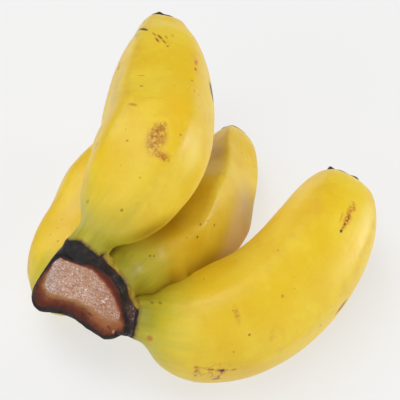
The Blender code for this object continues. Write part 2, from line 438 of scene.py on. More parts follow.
def flow(points, normals, active):
    """Moves the active points out along their normals until they lie on the smooth union."""
    out = points.copy()
    idx = np.nonzero(active)[0]
    t = np.zeros(len(idx))
    for _ in range(4):
        q = points[idx] + normals[idx] * t[:, None]
        t = np.clip(t - 0.9 * together(q), 0, CAP)
    out[idx] = points[idx] + normals[idx] * t[:, None]
    return out


def grid_normals(grid):
    """Outward normals of a grid of rows of points that close round."""
    along = np.gradient(grid, axis=0)
    across = np.roll(grid, -1, axis=1) - np.roll(grid, 1, axis=1)
    n = np.cross(across, along)
    return n / np.maximum(np.linalg.norm(n, axis=-1, keepdims=True), 1e-12)


def settle(points):
    """The surface that the hand lies on presses a soft flat on what rests on it."""
    z = points[:, 2]
    soft = 0.5 * (z + np.sqrt(z**2 + 0.5**2))
    points[:, 2] = np.where(z < 6, np.maximum(soft - 0.25 * smooth(z, 0, 6) - 0.0, 0), z)
    return points


def soften(grid, weight, rounds):
    """Evens out a grid of rows of points that close round, where the weight is above 0."""
    pull = 0.5 * weight[..., None]
    for _ in range(rounds):
        along = np.zeros_like(grid)
        along[1:-1] = (grid[:-2] + grid[2:]) / 2 - grid[1:-1]
        across = (np.roll(grid, 1, axis=1) + np.roll(grid, -1, axis=1)) / 2 - grid
        grid = grid + pull * (along + 0.5 * across)
    return grid


def build_fruit(fruit):
    length = fruit.length
    # Rows: from inside the crown, closer together at the neck and the tip.
    rows = np.concatenate(
        [
            np.linspace(-2.5, 16, 62, endpoint=False),
            np.linspace(16, length - 14, 92, endpoint=False),
            np.linspace(length - 14, length - fruit.given["short"], 44),
        ]
    )
    angle = np.linspace(0, 2 * math.pi, AROUND, endpoint=False)
    centre, t, a, b = fruit.at_distance(rows)
    S, A = np.meshgrid(rows, angle, indexing="ij")
    R = fruit.section(S.ravel(), A.ravel()).reshape(S.shape)
    ring = a[:, None, :] * np.cos(A)[..., None] + b[:, None, :] * np.sin(A)[..., None]
    grid = centre[:, None, :] + ring * R[..., None]
    # The blossom end: the skin rounds over to a thin dark collar with dry nubs, round a sunken pad.
    last = rows[-1]
    edge = R[-1]
    c_end, t_end, a_end, b_end = (v[-1] for v in (centre, t, a, b))
    around = a_end * np.cos(angle)[:, None] + b_end * np.sin(angle)[:, None]
    facing = angle - np.interp(last, fruit.at, fruit.view)
    circle = np.stack([np.cos(angle), np.sin(angle), np.full(AROUND, fruit.given["seed"] * 1.7)], 1)
    nub = np.zeros(AROUND)
    for at, height, half in fruit.given["nubs"]:
        off = np.degrees((facing - math.radians(at) + math.pi) % (2 * math.pi) - math.pi)
        nub = nub + height * np.exp(-((off / half) ** 2))
    collar = fruit.given["collar"] * (1 + 0.35 * noise(circle, 0.45, 4))
    steps = []
    for f, up in ((0.25, 0.12), (0.5, 0.2), (0.75, 0.26), (1.0, 0.3)):
        steps.append((edge * (1 - 0.05 * f), np.full(AROUND, up)))
    for f in (0.1, 0.4, 0.75, 1.0):
        steps.append((edge * 0.95 + 0.28 * nub * f * (1 - 0.4 * f), 0.3 + (collar + nub) * f))
    steps.append((edge * 0.915 + 0.1 * nub, 0.33 + collar + nub * 0.9))
    steps.append((edge * 0.86, 0.3 + collar * 0.8 + nub * 0.35))
    steps.append((edge * 0.80, 0.3 + collar * 0.3 + nub * 0.08))
    for f, up in ((0.72, 0.16), (0.6, 0.08), (0.45, 0.1), (0.3, 0.2), (0.18, 0.34), (0.07, 0.4)):
        steps.append((edge * f, up + 0.06 * noise(circle * f, 0.3, 9)))
    caps = [c_end + around * r[:, None] + t_end * h[:, None] for r, h in steps]
    S = np.vstack([S, np.full((len(caps), AROUND), last)])
    A = np.vstack([A, np.tile(angle, (len(caps), 1))])
    grid = np.concatenate([grid, np.array(caps)], 0)
    at, amount = fruit.given["tilt"]
    lower = amount * np.cos(A - np.interp(S, fruit.at, fruit.view) - math.radians(at)) * smooth(S, last - 7, last)
    inside = np.concatenate([np.ones(len(rows)), np.array([r.mean() for r, h in steps]) / edge.mean()])
    grid = grid - t_end * (lower * inside[:, None])[..., None]
    tip = np.concatenate([np.clip(rows - last, -99, 0), (0.02, 0.04, 0.06, 0.1), np.linspace(0.35, 1, len(caps) - 4)])
    T = np.repeat(tip[:, None], AROUND, 1)

    normals = grid_normals(grid)
    points, n = grid.reshape(-1, 3), normals.reshape(-1, 3)
    s, ang = S.ravel(), A.ravel()
    # Gentle unevenness, so that no fruit is a perfect loft.
    seed = fruit.given["seed"]
    part = s / length
    wobble = 0.22 * noise(points, 26, seed) + 0.07 * noise(points, 9, seed + 5)
    points = points + n * (wobble * smooth(part, 0.08, 0.25) * (1 - smooth(part, 0.95, 1.0)))[:, None]
    # How near the other fruits are, which sets the painted shade in the creases between them.
    beside = np.full(len(points), 50.0)
    low = s < fruit.length * 0.5
    for other in fruits.values():
        if other is not fruit:
            beside[low] = np.minimum(beside[low], other.distance(points[low])[0])
    out_of_crown = np.full(len(points), 50.0)
    out_of_crown[low] = crown_distance(points[low])
    points = flow(points, n, (s < 24) & (out_of_crown > -0.9))
    neck = smooth(S, 0.5, 3) * (1 - smooth(S, 10, 16))
    evened = soften(points.reshape(grid.shape), neck, min(fruit.given.get("even", 30), 80))
    if fruit.given.get("even", 30) > 80:
        # The inside of the neck's bend is evened further out, so that the skin doesn't crease there.
        bend = np.gradient(fruit.tangent, axis=0)[(fruit.at > 4) & (fruit.at < 12)].mean(0)
        deep = int((rows < 24).sum())
        inner = smooth(ring[:deep] @ unit(bend), -0.3, 0.4)
        inner = inner * smooth(S[:deep], 1, 5) * (1 - smooth(S[:deep], 15, 23))
        evened[:deep] = soften(evened[:deep], inner, fruit.given["even"])
    points = evened.reshape(-1, 3)
    points = settle(points)

    first = len(points)
    points = np.vstack([points, centre[0], c_end + t_end * 0.42])
    m = len(grid)
    j = np.arange(AROUND)
    k = (j + 1) % AROUND
    start = np.stack([np.full(AROUND, first), k, j], 1)
    end = np.stack([np.full(AROUND, first + 1), (m - 1) * AROUND + j, (m - 1) * AROUND + k], 1)

    facing = (ang - np.interp(s, fruit.at, fruit.view) + math.pi) % (2 * math.pi) - math.pi
    lay = np.stack([s, facing * fruit.radius(s), facing], 1)
    phase = np.radians(hermite((0, 0.5, 1), fruit.given["ridge"], np.clip(part, 0, 1))) + np.interp(s, fruit.at, fruit.view)
    crest = np.exp(-((((ang - phase + math.pi / 5) % (2 * math.pi / 5) - math.pi / 5) / 0.16) ** 2)) * smooth(part, 0.02, 0.15)
    x, y, w = to_cut(points[:first])
    near = np.full(first, 50.0)
    low = s < 26
    near[low] = crown_distance(points[:first][low])
    tipness = T.ravel()

    def both(v, v0, v1):
        return np.concatenate([v, [v0], [v1]]) if v.ndim == 1 else np.vstack([v, v0, v1])

    attributes = {
        "lay": both(lay, (0, 0, 0), (last, 0, 0)),
        "crest": both(crest, 0, 0),
        "tip": both(tipness, -99, 1),
        "depth": both(w, 0, 60),
        "near": both(near, 0, 50),
        "beside": both(beside, 50, 50),
    }
    return make_mesh(
        "hand_" + fruit.name, points, [tube_faces(m, AROUND), start, end], attributes
    )


def build_crown():
    """The crown: the cut face with its scar, a rounded rim, the short wall and the cushioned back."""
    n = CROWN_AROUND
    loop = outline_points
    rows, height = [], []
    kind = []
    for f in np.linspace(0.012, 0.93, 78):  # the face
        rows.append((f, 0.0)); kind.append(0)
    for a in np.linspace(0, math.pi / 2, 14)[1:]:  # the rim rounds over to the wall
        rows.append((None, a)); kind.append(1)
    for d in np.linspace(EDGE_ROUND, CUT_DEPTH, 34)[1:]:
        rows.append((None, d)); kind.append(2)
    for f in np.linspace(0, 1, 46)[1:-1]:
        rows.append((f, None)); kind.append(3)
    outward = (loop - MIDDLE) / np.linalg.norm(loop - MIDDLE, axis=1, keepdims=True)
    # The edge is rounder at the upper right than below and at the left.
    turn = np.degrees(np.arctan2(outward[:, 1], outward[:, 0]))
    edge = np.interp(turn, (-180, -49, -33, -11, 12, 75, 100, 133, 160), (0.8, 0.8, 1.0, 1.5, 2.0, 2.0, 1.4, 0.9, 0.8), period=360)
    inner = loop - outward * edge[:, None]
    grid = []
    for (f, a), k in zip(rows, kind):
        if k == 0:
            p = MIDDLE + (inner - MIDDLE) * (f / 0.93)
            grid.append(from_cut(p[:, 0], p[:, 1], np.zeros(n)))
        elif k == 1:
            p = inner + outward * edge[:, None] * math.sin(a)
            grid.append(from_cut(p[:, 0], p[:, 1], edge * (1 - math.cos(a))))
        elif k == 2:
            scale = 1 + 0.05 * a / CUT_DEPTH
            p = MIDDLE + (loop - MIDDLE) * scale
            grid.append(from_cut(p[:, 0], p[:, 1], edge + (CUT_DEPTH - edge) * (a - EDGE_ROUND) / (CUT_DEPTH - EDGE_ROUND)))
        else:
            scale = 1.05 * math.cos(f * math.pi / 2)
            p = MIDDLE + (loop - MIDDLE) * scale
            grid.append(from_cut(p[:, 0], p[:, 1], np.full(n, CUT_DEPTH + 3.0 * math.sin(f * math.pi / 2))))
    grid = np.array(grid)
    normals = grid_normals(grid)
    points, nor = grid.reshape(-1, 3), normals.reshape(-1, 3)
    x, y, w = to_cut(points)
    if (nor[: 40 * n] @ CUT_NORMAL).mean() < 0:
        nor = -nor
        turned = True
    else:
        turned = False
    flat = np.stack([x, y], 1)
    across = loop_distance(flat, loop)
    scar = loop_distance(flat, scar_points)
    lift = np.zeros(len(points))
    front = smooth(-w, -1.6, 0)
    # The scar has sunk a little, and the skin under it has shrunk in folds.
    lift -= front * 0.35 * smooth(-scar, -0.8, 1.2)
    lift -= front * 0.7 * smooth(-y, 4.0, 8.0) * smooth(-across, 1.2, 3.6) * smooth(scar, -0.4, 2.4)
    lift += front * (0.13 * noise(points, 0.9, 3, 2) * smooth(-scar, -0.5, 0.5) + 0.10 * noise(points, 1.6, 33, 2) + 0.25 * noise(points, 4.5, 8))
    wall = smooth(w, 0.8, 2.6)
    angle = np.tile(np.arange(n) / n * 2 * math.pi, len(grid))
    folds = noise(np.stack([angle * 14, w * 0.25, np.zeros_like(w)], 1), 1.0, 21, 2)
    lift += wall * (0.16 * folds + 0.16 * noise(points, 2.2, 15, 2)) - 0.25 * wall * (1 - smooth(w, 4.0, 5.6))
    lift += 0.30 * np.exp(-(((w - 6.0) / 0.7) ** 2))
    notch = np.exp(-(((x - 13.2) / 0.75) ** 2 + ((y + 10.6) / 1.5) ** 2)) * smooth(-w, -4.5, -1.0)
    points = points + nor * lift[:, None]
    points = flow(points, nor, w > 1.0)
    out2d = unit(np.array((13.2, -10.6)) - MIDDLE)
    pull = out2d[0] * CUT_RIGHT + out2d[1] * CUT_UP
    points = points - pull * (notch * 1.5)[:, None]
    # How far each point of the face is from the scar towards the rim, and how wide the black of the rim is there.
    bearing = np.degrees(np.arctan2(y - MIDDLE[1], x - MIDDLE[0]))
    outer = np.where(w < EDGE_ROUND, np.minimum(across, 0) + w, w) - np.interp(bearing, BLACK_AT, BLACK_FROM, period=360)
    within = np.clip(scar, 0, None)
    between = within / np.maximum(within + np.clip(-outer, 0, None), 0.3)
    first = len(points)
    points = np.vstack([points, from_cut(MIDDLE[:1], MIDDLE[1:], np.array([0.35]))[0], from_cut(MIDDLE[:1], MIDDLE[1:], np.array([CUT_DEPTH + 3.0]))[0]])
    m = len(grid)
    j = np.arange(n)
    k = (j + 1) % n
    a = np.stack([np.full(n, first), j, k], 1)
    b = np.stack([np.full(n, first + 1), (m - 1) * n + k, (m - 1) * n + j], 1)
    quads = tube_faces(m, n)[:, ::-1]
    a, b = a[:, ::-1], b[:, ::-1]
    faces = [quads, a[:, ::-1], b[:, ::-1]]
    if not turned:
        faces = [f[:, ::-1] for f in faces]

    def both(v, v0, v1):
        return np.concatenate([v, [v0], [v1]]) if v.ndim == 1 else np.vstack([v, v0, v1])

    attributes = {
        "depth": both(w, 0, CUT_DEPTH + 3),
        "across": both(across, -8, -8),
        "scar": both(scar, -4, -4),
        "between": both(between, 0, 1),
        "outer": both(outer, -8, 8),
        "cut": both(np.stack([x, y, w], 1), (*MIDDLE, 0), (*MIDDLE, 9)),
    }
    return make_mesh("hand_crown", points, faces, attributes)


# --------------------------------------------------------------- materials
class Look:
    """A material and short ways to add its nodes."""

    def __init__(self, name):
        self.material = bpy.data.materials.new(name)
        self.material.use_nodes = True
        self.tree = self.material.node_tree
        self.shader = self.tree.nodes["Principled BSDF"]
        self.coord = self.tree.nodes.new("ShaderNodeTexCoord").outputs["Object"]

    def put(self, socket, value):
        if isinstance(value, bpy.types.NodeSocket):
            self.tree.links.new(value, socket)
        else:
            socket.default_value = value

    def attribute(self, name, output="Fac"):
        node = self.tree.nodes.new("ShaderNodeAttribute")
        node.attribute_name = name
        return node.outputs[output]

    def math(self, operation, a, b=0.0, c=0.0, clamp=False):
        node = self.tree.nodes.new("ShaderNodeMath")
        node.operation = operation
        node.use_clamp = clamp
        for socket, value in zip(node.inputs, (a, b, c)):
            self.put(socket, value)
        return node.outputs[0]

    def band(self, value, lo, hi, out_lo=0.0, out_hi=1.0):
        node = self.tree.nodes.new("ShaderNodeMapRange")
        node.interpolation_type = "SMOOTHSTEP"
        self.put(node.inputs["Value"], value)
        for key, v in (("From Min", lo), ("From Max", hi), ("To Min", out_lo), ("To Max", out_hi)):
            node.inputs[key].default_value = v
        return node.outputs["Result"]

    def noise(self, scale, detail=2.0, rough=0.5, distortion=0.0, vector=None, offset=None):
        node = self.tree.nodes.new("ShaderNodeTexNoise")
        node.inputs["Scale"].default_value = scale
        node.inputs["Detail"].default_value = detail
        node.inputs["Roughness"].default_value = rough
        node.inputs["Distortion"].default_value = distortion
        source = vector or self.coord
        if offset:
            add = self.tree.nodes.new("ShaderNodeVectorMath")
            add.operation = "ADD"
            self.put(add.inputs[0], source)
            add.inputs[1].default_value = offset
            source = add.outputs[0]
        self.put(node.inputs["Vector"], source)
        return node.outputs["Fac"]

    def cells(self, scale, vector=None, feature="F1"):
        node = self.tree.nodes.new("ShaderNodeTexVoronoi")
        node.feature = feature
        node.inputs["Scale"].default_value = scale
        self.put(node.inputs["Vector"], vector or self.coord)
        return node.outputs

    def stretch(self, vector, scale):
        node = self.tree.nodes.new("ShaderNodeVectorMath")
        node.operation = "MULTIPLY"
        self.put(node.inputs[0], vector)
        node.inputs[1].default_value = scale
        return node.outputs[0]

    def split(self, vector):
        node = self.tree.nodes.new("ShaderNodeSeparateXYZ")
        self.put(node.inputs[0], vector)
        return node.outputs

    def mix(self, factor, a, b, blend="MIX"):
        node = self.tree.nodes.new("ShaderNodeMix")
        node.data_type = "RGBA"
        node.blend_type = blend
        self.put(node.inputs["Factor"], factor)
        self.put(node.inputs[6], a)
        self.put(node.inputs[7], b)
        return node.outputs[2]

    def ramp(self, value, stops):
        node = self.tree.nodes.new("ShaderNodeValToRGB")
        self.put(node.inputs[0], value)
        ramp = node.color_ramp
        while len(ramp.elements) < len(stops):
            ramp.elements.new(0.5)
        for element, (at, colour) in zip(ramp.elements, stops):
            element.position = at
            element.color = colour
        return node.outputs[0]

    def bump(self, height, strength, distance, under=None):
        node = self.tree.nodes.new("ShaderNodeBump")
        node.inputs["Strength"].default_value = strength
        node.inputs["Distance"].default_value = distance
        self.put(node.inputs["Height"], height)
        if under is not None:
            self.put(node.inputs["Normal"], under)
        return node.outputs[0]

    def times(self, *values):
        out = values[0]
        for v in values[1:]:
            out = self.math("MULTIPLY", out, v)
        return out

    def ellipse(self, along, around, s, a, half_s, half_a, turn=0.0, soft=0.6):
        """A soft elliptical patch, 1 in its middle, centred s mm along and a mm round."""
        c, d = math.cos(math.radians(turn)), math.sin(math.radians(turn))
        ds = self.math("SUBTRACT", along, s)
        da = self.math("SUBTRACT", around, a)
        u = self.math("ADD", self.math("MULTIPLY", ds, c / half_s), self.math("MULTIPLY", da, d / half_s))
        v = self.math("ADD", self.math("MULTIPLY", ds, -d / half_a), self.math("MULTIPLY", da, c / half_a))
        r2 = self.math("ADD", self.math("MULTIPLY", u, u), self.math("MULTIPLY", v, v))
        return self.band(self.math("SQRT", r2), 1.0, 1.0 - soft)


# folds sets how strong the painted shade in the creases between fruits is.
def peel(name, marks=(), green_from=4.0, green_to=24.0, green=1.0, dry_to=-9.0, folds=1.0):
    look = Look(name)
    s_, a_, facing = look.split(look.attribute("lay", "Vector"))
    crest = look.attribute("crest")
    tip = look.attribute("tip")
    depth = look.attribute("depth")

    broad = look.noise(55, 2, 0.5)
    patch = look.noise(140, 3, 0.55, 0.4)
    fine = look.noise(700, 4, 0.6)
    colour = look.mix(look.band(broad, 0.38, 0.62), rgb(240, 207, 54), rgb(234, 196, 36))
    colour = look.mix(look.math("MULTIPLY", look.band(patch, 0.52, 0.72), 0.45), colour, rgb(229, 183, 28))
    colour = look.mix(look.math("MULTIPLY", look.band(patch, 0.45, 0.28), 0.35), colour, rgb(243, 216, 72))
    colour = look.mix(look.math("MULTIPLY", look.band(fine, 0.35, 0.7), 0.10), colour, rgb(214, 168, 40))
    # The ridges are a little more brown and pale.
    worn = look.times(crest, look.band(look.noise(260, 3, 0.6), 0.38, 0.68), 0.22)
    colour = look.mix(worn, colour, rgb(206, 160, 62))
    # Green at the neck, in long streaks.
    streaks = look.noise(1.0, 3, 0.6, vector=look.stretch(look.attribute("lay", "Vector"), (0.07, 0.36, 0)))
    reach = look.math("ADD", s_, look.math("MULTIPLY", look.math("SUBTRACT", streaks, 0.5), 14.0))
    greenness = look.math("MULTIPLY", look.band(reach, green_to, green_from), green)
    colour = look.mix(greenness, colour, rgb(194, 182, 50))
    deep = look.math("MULTIPLY", look.band(reach, green_from + 5.0, green_from - 4.0), green)
    colour = look.mix(look.math("MULTIPLY", deep, 0.75), colour, rgb(148, 141, 34))
    # Freckles: few, small and brown.
    spots = look.cells(230)
    chance = look.band(look.split(spots["Color"])[0], 0.86, 0.90)
    size = look.band(spots["Distance"], 0.085, 0.045)
    colour = look.mix(look.times(chance, size, 0.75), colour, rgb(128, 84, 30))
    spots = look.cells(420)
    chance = look.band(look.split(spots["Color"])[1], 0.90, 0.93)
    size = look.band(spots["Distance"], 0.10, 0.05)
    colour = look.mix(look.times(chance, size, 0.6), colour, rgb(140, 100, 30))
    # The marks of this fruit, and the tints among them that are painted shade and painted highlights.
    speckle = look.band(look.noise(1300, 3, 0.65), 0.48, 0.58)
    cloud = look.band(look.noise(500, 3, 0.6, 0.6), 0.38, 0.60)
    for kind, s, a, half_s, half_a, turn, strength, shade in marks:
        shape = look.ellipse(s_, a_, s, a, half_s, half_a, turn, {"spot": 0.7, "solid": 0.4, "tint": 0.95}.get(kind, 0.75))
        if kind == "speckle":
            mask = look.times(shape, look.math("MAXIMUM", speckle, look.math("MULTIPLY", cloud, 0.55)), strength)
        elif kind == "cloud":
            mask = look.times(shape, cloud, strength)
        elif kind in ("tint", "solid"):
            mask = look.times(shape, strength)
        elif kind == "net":
            web = look.cells(420, look.coord, "DISTANCE_TO_EDGE")["Distance"]
            lines = look.band(web, 0.12, 0.03)
            mask = look.times(shape, lines, look.band(look.noise(330, 2, 0.5), 0.40, 0.54), strength)
        elif kind == "dashes":
            mask = look.times(shape, look.band(look.noise(800, 3, 0.65, 0.5), 0.42, 0.54), strength)
        else:
            mask = look.times(shape, look.band(look.noise(1500, 2, 0.5), 0.1, 0.42), strength)
        colour = look.mix(mask, colour, rgb(*shade))
    # The dried band at the crown, and the dark blossom pad.
    ragged = look.math("ADD", depth, look.math("MULTIPLY", look.math("SUBTRACT", look.noise(300, 3, 0.6), 0.5), 2.2))
    close = look.math("ADD", look.attribute("near"), look.math("MULTIPLY", look.math("SUBTRACT", look.noise(500, 3, 0.6), 0.5), 1.4))
    # Painted shade: where two fruits lie close together, the skin is painted darker and olive, standing in for the
    # shade in the crease between them.
    beside = look.attribute("beside")
    shade = look.math("MULTIPLY", look.band(beside, 4.8, 0.8), 0.6 * folds)
    colour = look.mix(shade, colour, rgb(176, 130, 12))
    # A narrower, darker painted shade where the fruits almost touch.
    crease_shade = look.band(look.math("ADD", beside, look.math("MULTIPLY", look.math("SUBTRACT", fine, 0.5), 1.0)), 2.4, 0.2)
    colour = look.mix(look.math("MULTIPLY", crease_shade, 0.8 * folds), colour, rgb(92, 66, 10))
    torn = look.math("ADD", s_, look.math("MULTIPLY", look.math("SUBTRACT", look.noise(420, 3, 0.6), 0.5), 1.6))
    torn = look.math("ADD", torn, look.band(facing, -0.35, -1.2, 0.0, 2.6))
    dry = look.math("MAXIMUM", look.times(look.band(ragged, 5.4, 4.6), look.band(close, 2.1, 1.4)), look.band(torn, dry_to + 0.25, dry_to - 0.35))
    scorched = look.math("MAXIMUM", look.times(look.band(ragged, 6.8, 5.2), look.band(close, 2.9, 1.7)), look.band(torn, dry_to + 1.1, dry_to - 0.1))
    colour = look.mix(look.math("MULTIPLY", scorched, 0.7), colour, rgb(122, 84, 34))
    soot = look.mix(look.band(look.noise(500, 3, 0.6), 0.4, 0.7), rgb(26, 23, 25), rgb(50, 40, 38))
    colour = look.mix(dry, colour, soot)
    pad = look.band(tip, 0.12, 0.3)
    near = look.math("MULTIPLY", look.band(tip, -1.6, 0.0), look.band(look.noise(700, 3, 0.6), 0.38, 0.66))
    colour = look.mix(look.math("MULTIPLY", near, 0.5), colour, rgb(176, 128, 50))
    colour = look.mix(pad, colour, look.mix(look.band(look.noise(900, 3, 0.6), 0.42, 0.7), rgb(34, 28, 26), rgb(84, 62, 44)))
    heart = look.times(look.band(tip, 0.4, 0.9), look.band(look.noise(800, 3, 0.6, offset=(3, 3, 1)), 0.36, 0.62), 0.8)
    colour = look.mix(heart, colour, rgb(126, 98, 66))
    look.put(look.shader.inputs["Base Color"], colour)
    rough = look.band(look.noise(420, 3, 0.55), 0.3, 0.7, 0.35, 0.45)
    rough = look.math("ADD", rough, look.math("MULTIPLY", look.math("MAXIMUM", dry, pad), 0.25))
    rough = look.math("ADD", rough, look.band(look.attribute("near"), 9.0, 3.0, 0.0, 0.12))
    look.put(look.shader.inputs["Roughness"], rough)
    look.shader.inputs["Specular IOR Level"].default_value = 0.42
    fibres = look.noise(1.0, 3, 0.6, vector=look.stretch(look.attribute("lay", "Vector"), (0.10, 1.6, 0)))
    height = look.math("ADD", look.math("MULTIPLY", fibres, 0.7), look.math("MULTIPLY", look.noise(1300, 3, 0.6), 0.5))
    normal = look.bump(height, 0.35, 0.00022)
    look.put(look.shader.inputs["Normal"], normal)
    return look.material


def bark():
    look = Look("crown_scar_and_dry_skin")
    depth = look.attribute("depth")
    scar = look.attribute("scar")
    outer = look.attribute("outer")
    cx, cy, _ = look.split(look.attribute("cut", "Vector"))
    waver = look.math("SUBTRACT", look.noise(420, 3, 0.6), 0.5)
    edge = look.math("ADD", scar, look.math("MULTIPLY", waver, 2.2))
    # The scar: pinkish fibres, whitish grains and brown flecks at several scales, greyer at the left.
    grain = look.noise(1600, 4, 0.72, 0.3)
    fibres = look.noise(1.0, 3, 0.65, 0.5, vector=look.stretch(look.attribute("cut", "Vector"), (0.75, 1.9, 0)))
    pale = look.mix(look.band(look.noise(380, 3, 0.6), 0.36, 0.64), rgb(190, 142, 114), rgb(206, 168, 146))
    pale = look.mix(look.math("MULTIPLY", look.band(cx, -5.0, -11.0), 0.6), pale, rgb(188, 168, 162))
    pale = look.mix(look.math("MULTIPLY", look.band(cx, 2.0, 9.0), 0.75), pale, rgb(174, 122, 92))
    pale = look.mix(look.math("MULTIPLY", look.band(fibres, 0.50, 0.64), 0.8), pale, rgb(166, 104, 64))
    frost = look.band(look.noise(520, 2, 0.5, offset=(1, 9, 2)), 0.34, 0.62, 0.28, 0.85)
    pale = look.mix(look.times(look.band(grain, 0.52, 0.61), frost), pale, rgb(242, 228, 222))
    pale = look.mix(look.math("MULTIPLY", look.band(look.noise(1700, 3, 0.7, offset=(7, 1, 2)), 0.55, 0.66), 0.75), pale, rgb(140, 86, 60))
    # From the scar to the rim: narrow and red-brown above, wide and orange-brown below.
    mottle = look.math("ADD", look.math("MULTIPLY", waver, 0.42), look.math("MULTIPLY", look.math("SUBTRACT", look.noise(900, 3, 0.65, offset=(4, 1, 1)), 0.5), 0.36))
    t = look.math("ADD", look.attribute("between"), mottle)
    above = look.ramp(t, ((0.0, rgb(176, 116, 80)), (0.18, rgb(142, 76, 46)), (0.42, rgb(106, 46, 28)), (0.7, rgb(78, 34, 26)), (1.0, rgb(48, 30, 28))))
    below = look.ramp(t, ((0.0, rgb(176, 132, 84)), (0.2, rgb(164, 114, 66)), (0.42, rgb(132, 70, 38)), (0.7, rgb(104, 44, 25)), (1.0, rgb(60, 32, 28))))
    corner = look.ramp(t, ((0.0, rgb(182, 132, 96)), (0.3, rgb(172, 110, 68)), (0.6, rgb(156, 92, 52)), (0.88, rgb(108, 54, 30)), (1.0, rgb(52, 32, 28))))
    ring = look.mix(look.band(look.math("ADD", cy, look.math("MULTIPLY", cx, 0.25)), -1.5, -4.5), above, below)
    ring = look.mix(look.times(look.band(cx, 1.0, 5.5), look.band(cy, -3.5, -6.5)), ring, corner)
    ring = look.mix(look.times(look.band(look.noise(1300, 3, 0.6, offset=(3, 8, 2)), 0.56, 0.72), 0.4), ring, rgb(66, 26, 22))
    for s, a, half_s, half_a, strength, shade in (
        (3.2, -7.6, 1.0, 0.8, 0.9, (84, 24, 24)), (9.4, -9.4, 0.7, 0.6, 0.7, (92, 40, 30)), (11.6, -10.0, 0.9, 0.7, 0.8, (214, 160, 120)),
        (-8.0, -8.6, 2.4, 1.0, 0.5, (112, 44, 24)), (6.6, -7.0, 1.6, 0.8, 0.5, (206, 154, 110)),
    ):
        spot = look.times(look.ellipse(cx, cy, s, a, half_s, half_a), look.band(look.noise(1500, 3, 0.6), 0.34, 0.56), strength)
        ring = look.mix(spot, ring, rgb(*shade))
    colour = look.mix(look.band(edge, -0.35, 0.45), pale, ring)
    # The black of the rim and the wall, with purple-brown dry skin at its right end; the pale pink flecks in it are
    # painted highlights of glancing light.
    black = look.mix(look.band(look.noise(500, 3, 0.6, offset=(1, 5, 2)), 0.4, 0.7), rgb(30, 26, 28), rgb(54, 44, 44))
    black = look.mix(look.math("MULTIPLY", look.band(look.noise(1100, 3, 0.6, offset=(2, 5, 1)), 0.56, 0.72), 0.5), black, rgb(92, 52, 36))
    purple_skin_and_glints = look.mix(look.band(look.noise(1200, 3, 0.6), 0.45, 0.7), rgb(92, 66, 62), rgb(176, 140, 136))
    black = look.mix(look.times(look.band(cx, 12.5, 14.5), look.band(depth, 1.0, 2.6), 0.8), black, purple_skin_and_glints)
    ragged_rim = look.math("ADD", outer, look.math("MULTIPLY", look.math("SUBTRACT", look.noise(700, 3, 0.65), 0.5), 1.3))
    colour = look.mix(look.band(ragged_rim, -0.3, 0.35), colour, black)
    # Behind it a thin line of olive skin.
    ragged = look.math("ADD", depth, look.math("MULTIPLY", look.math("SUBTRACT", look.noise(300, 3, 0.6), 0.5), 2.0))
    colour = look.mix(look.band(ragged, 4.2, 4.7), colour, rgb(84, 48, 28))
    skin = look.mix(look.band(look.noise(400, 3, 0.6), 0.35, 0.65), rgb(186, 164, 58), rgb(156, 124, 40))
    colour = look.mix(look.band(ragged, 4.6, 5.2), colour, skin)
    look.put(look.shader.inputs["Base Color"], colour)
    wet = look.band(look.noise(600, 2, 0.5), 0.3, 0.7, 0.42, 0.64)
    look.put(look.shader.inputs["Roughness"], wet)
    look.shader.inputs["Specular IOR Level"].default_value = 0.22
    height = look.math("ADD", look.math("MULTIPLY", grain, 0.8), look.math("MULTIPLY", look.noise(3600, 3, 0.6), 0.6))
    look.put(look.shader.inputs["Normal"], look.bump(height, 0.5, 0.0003))
    return look.material


BROWN, DARK, ORANGE = (150, 88, 28), (92, 48, 30), (200, 118, 44)
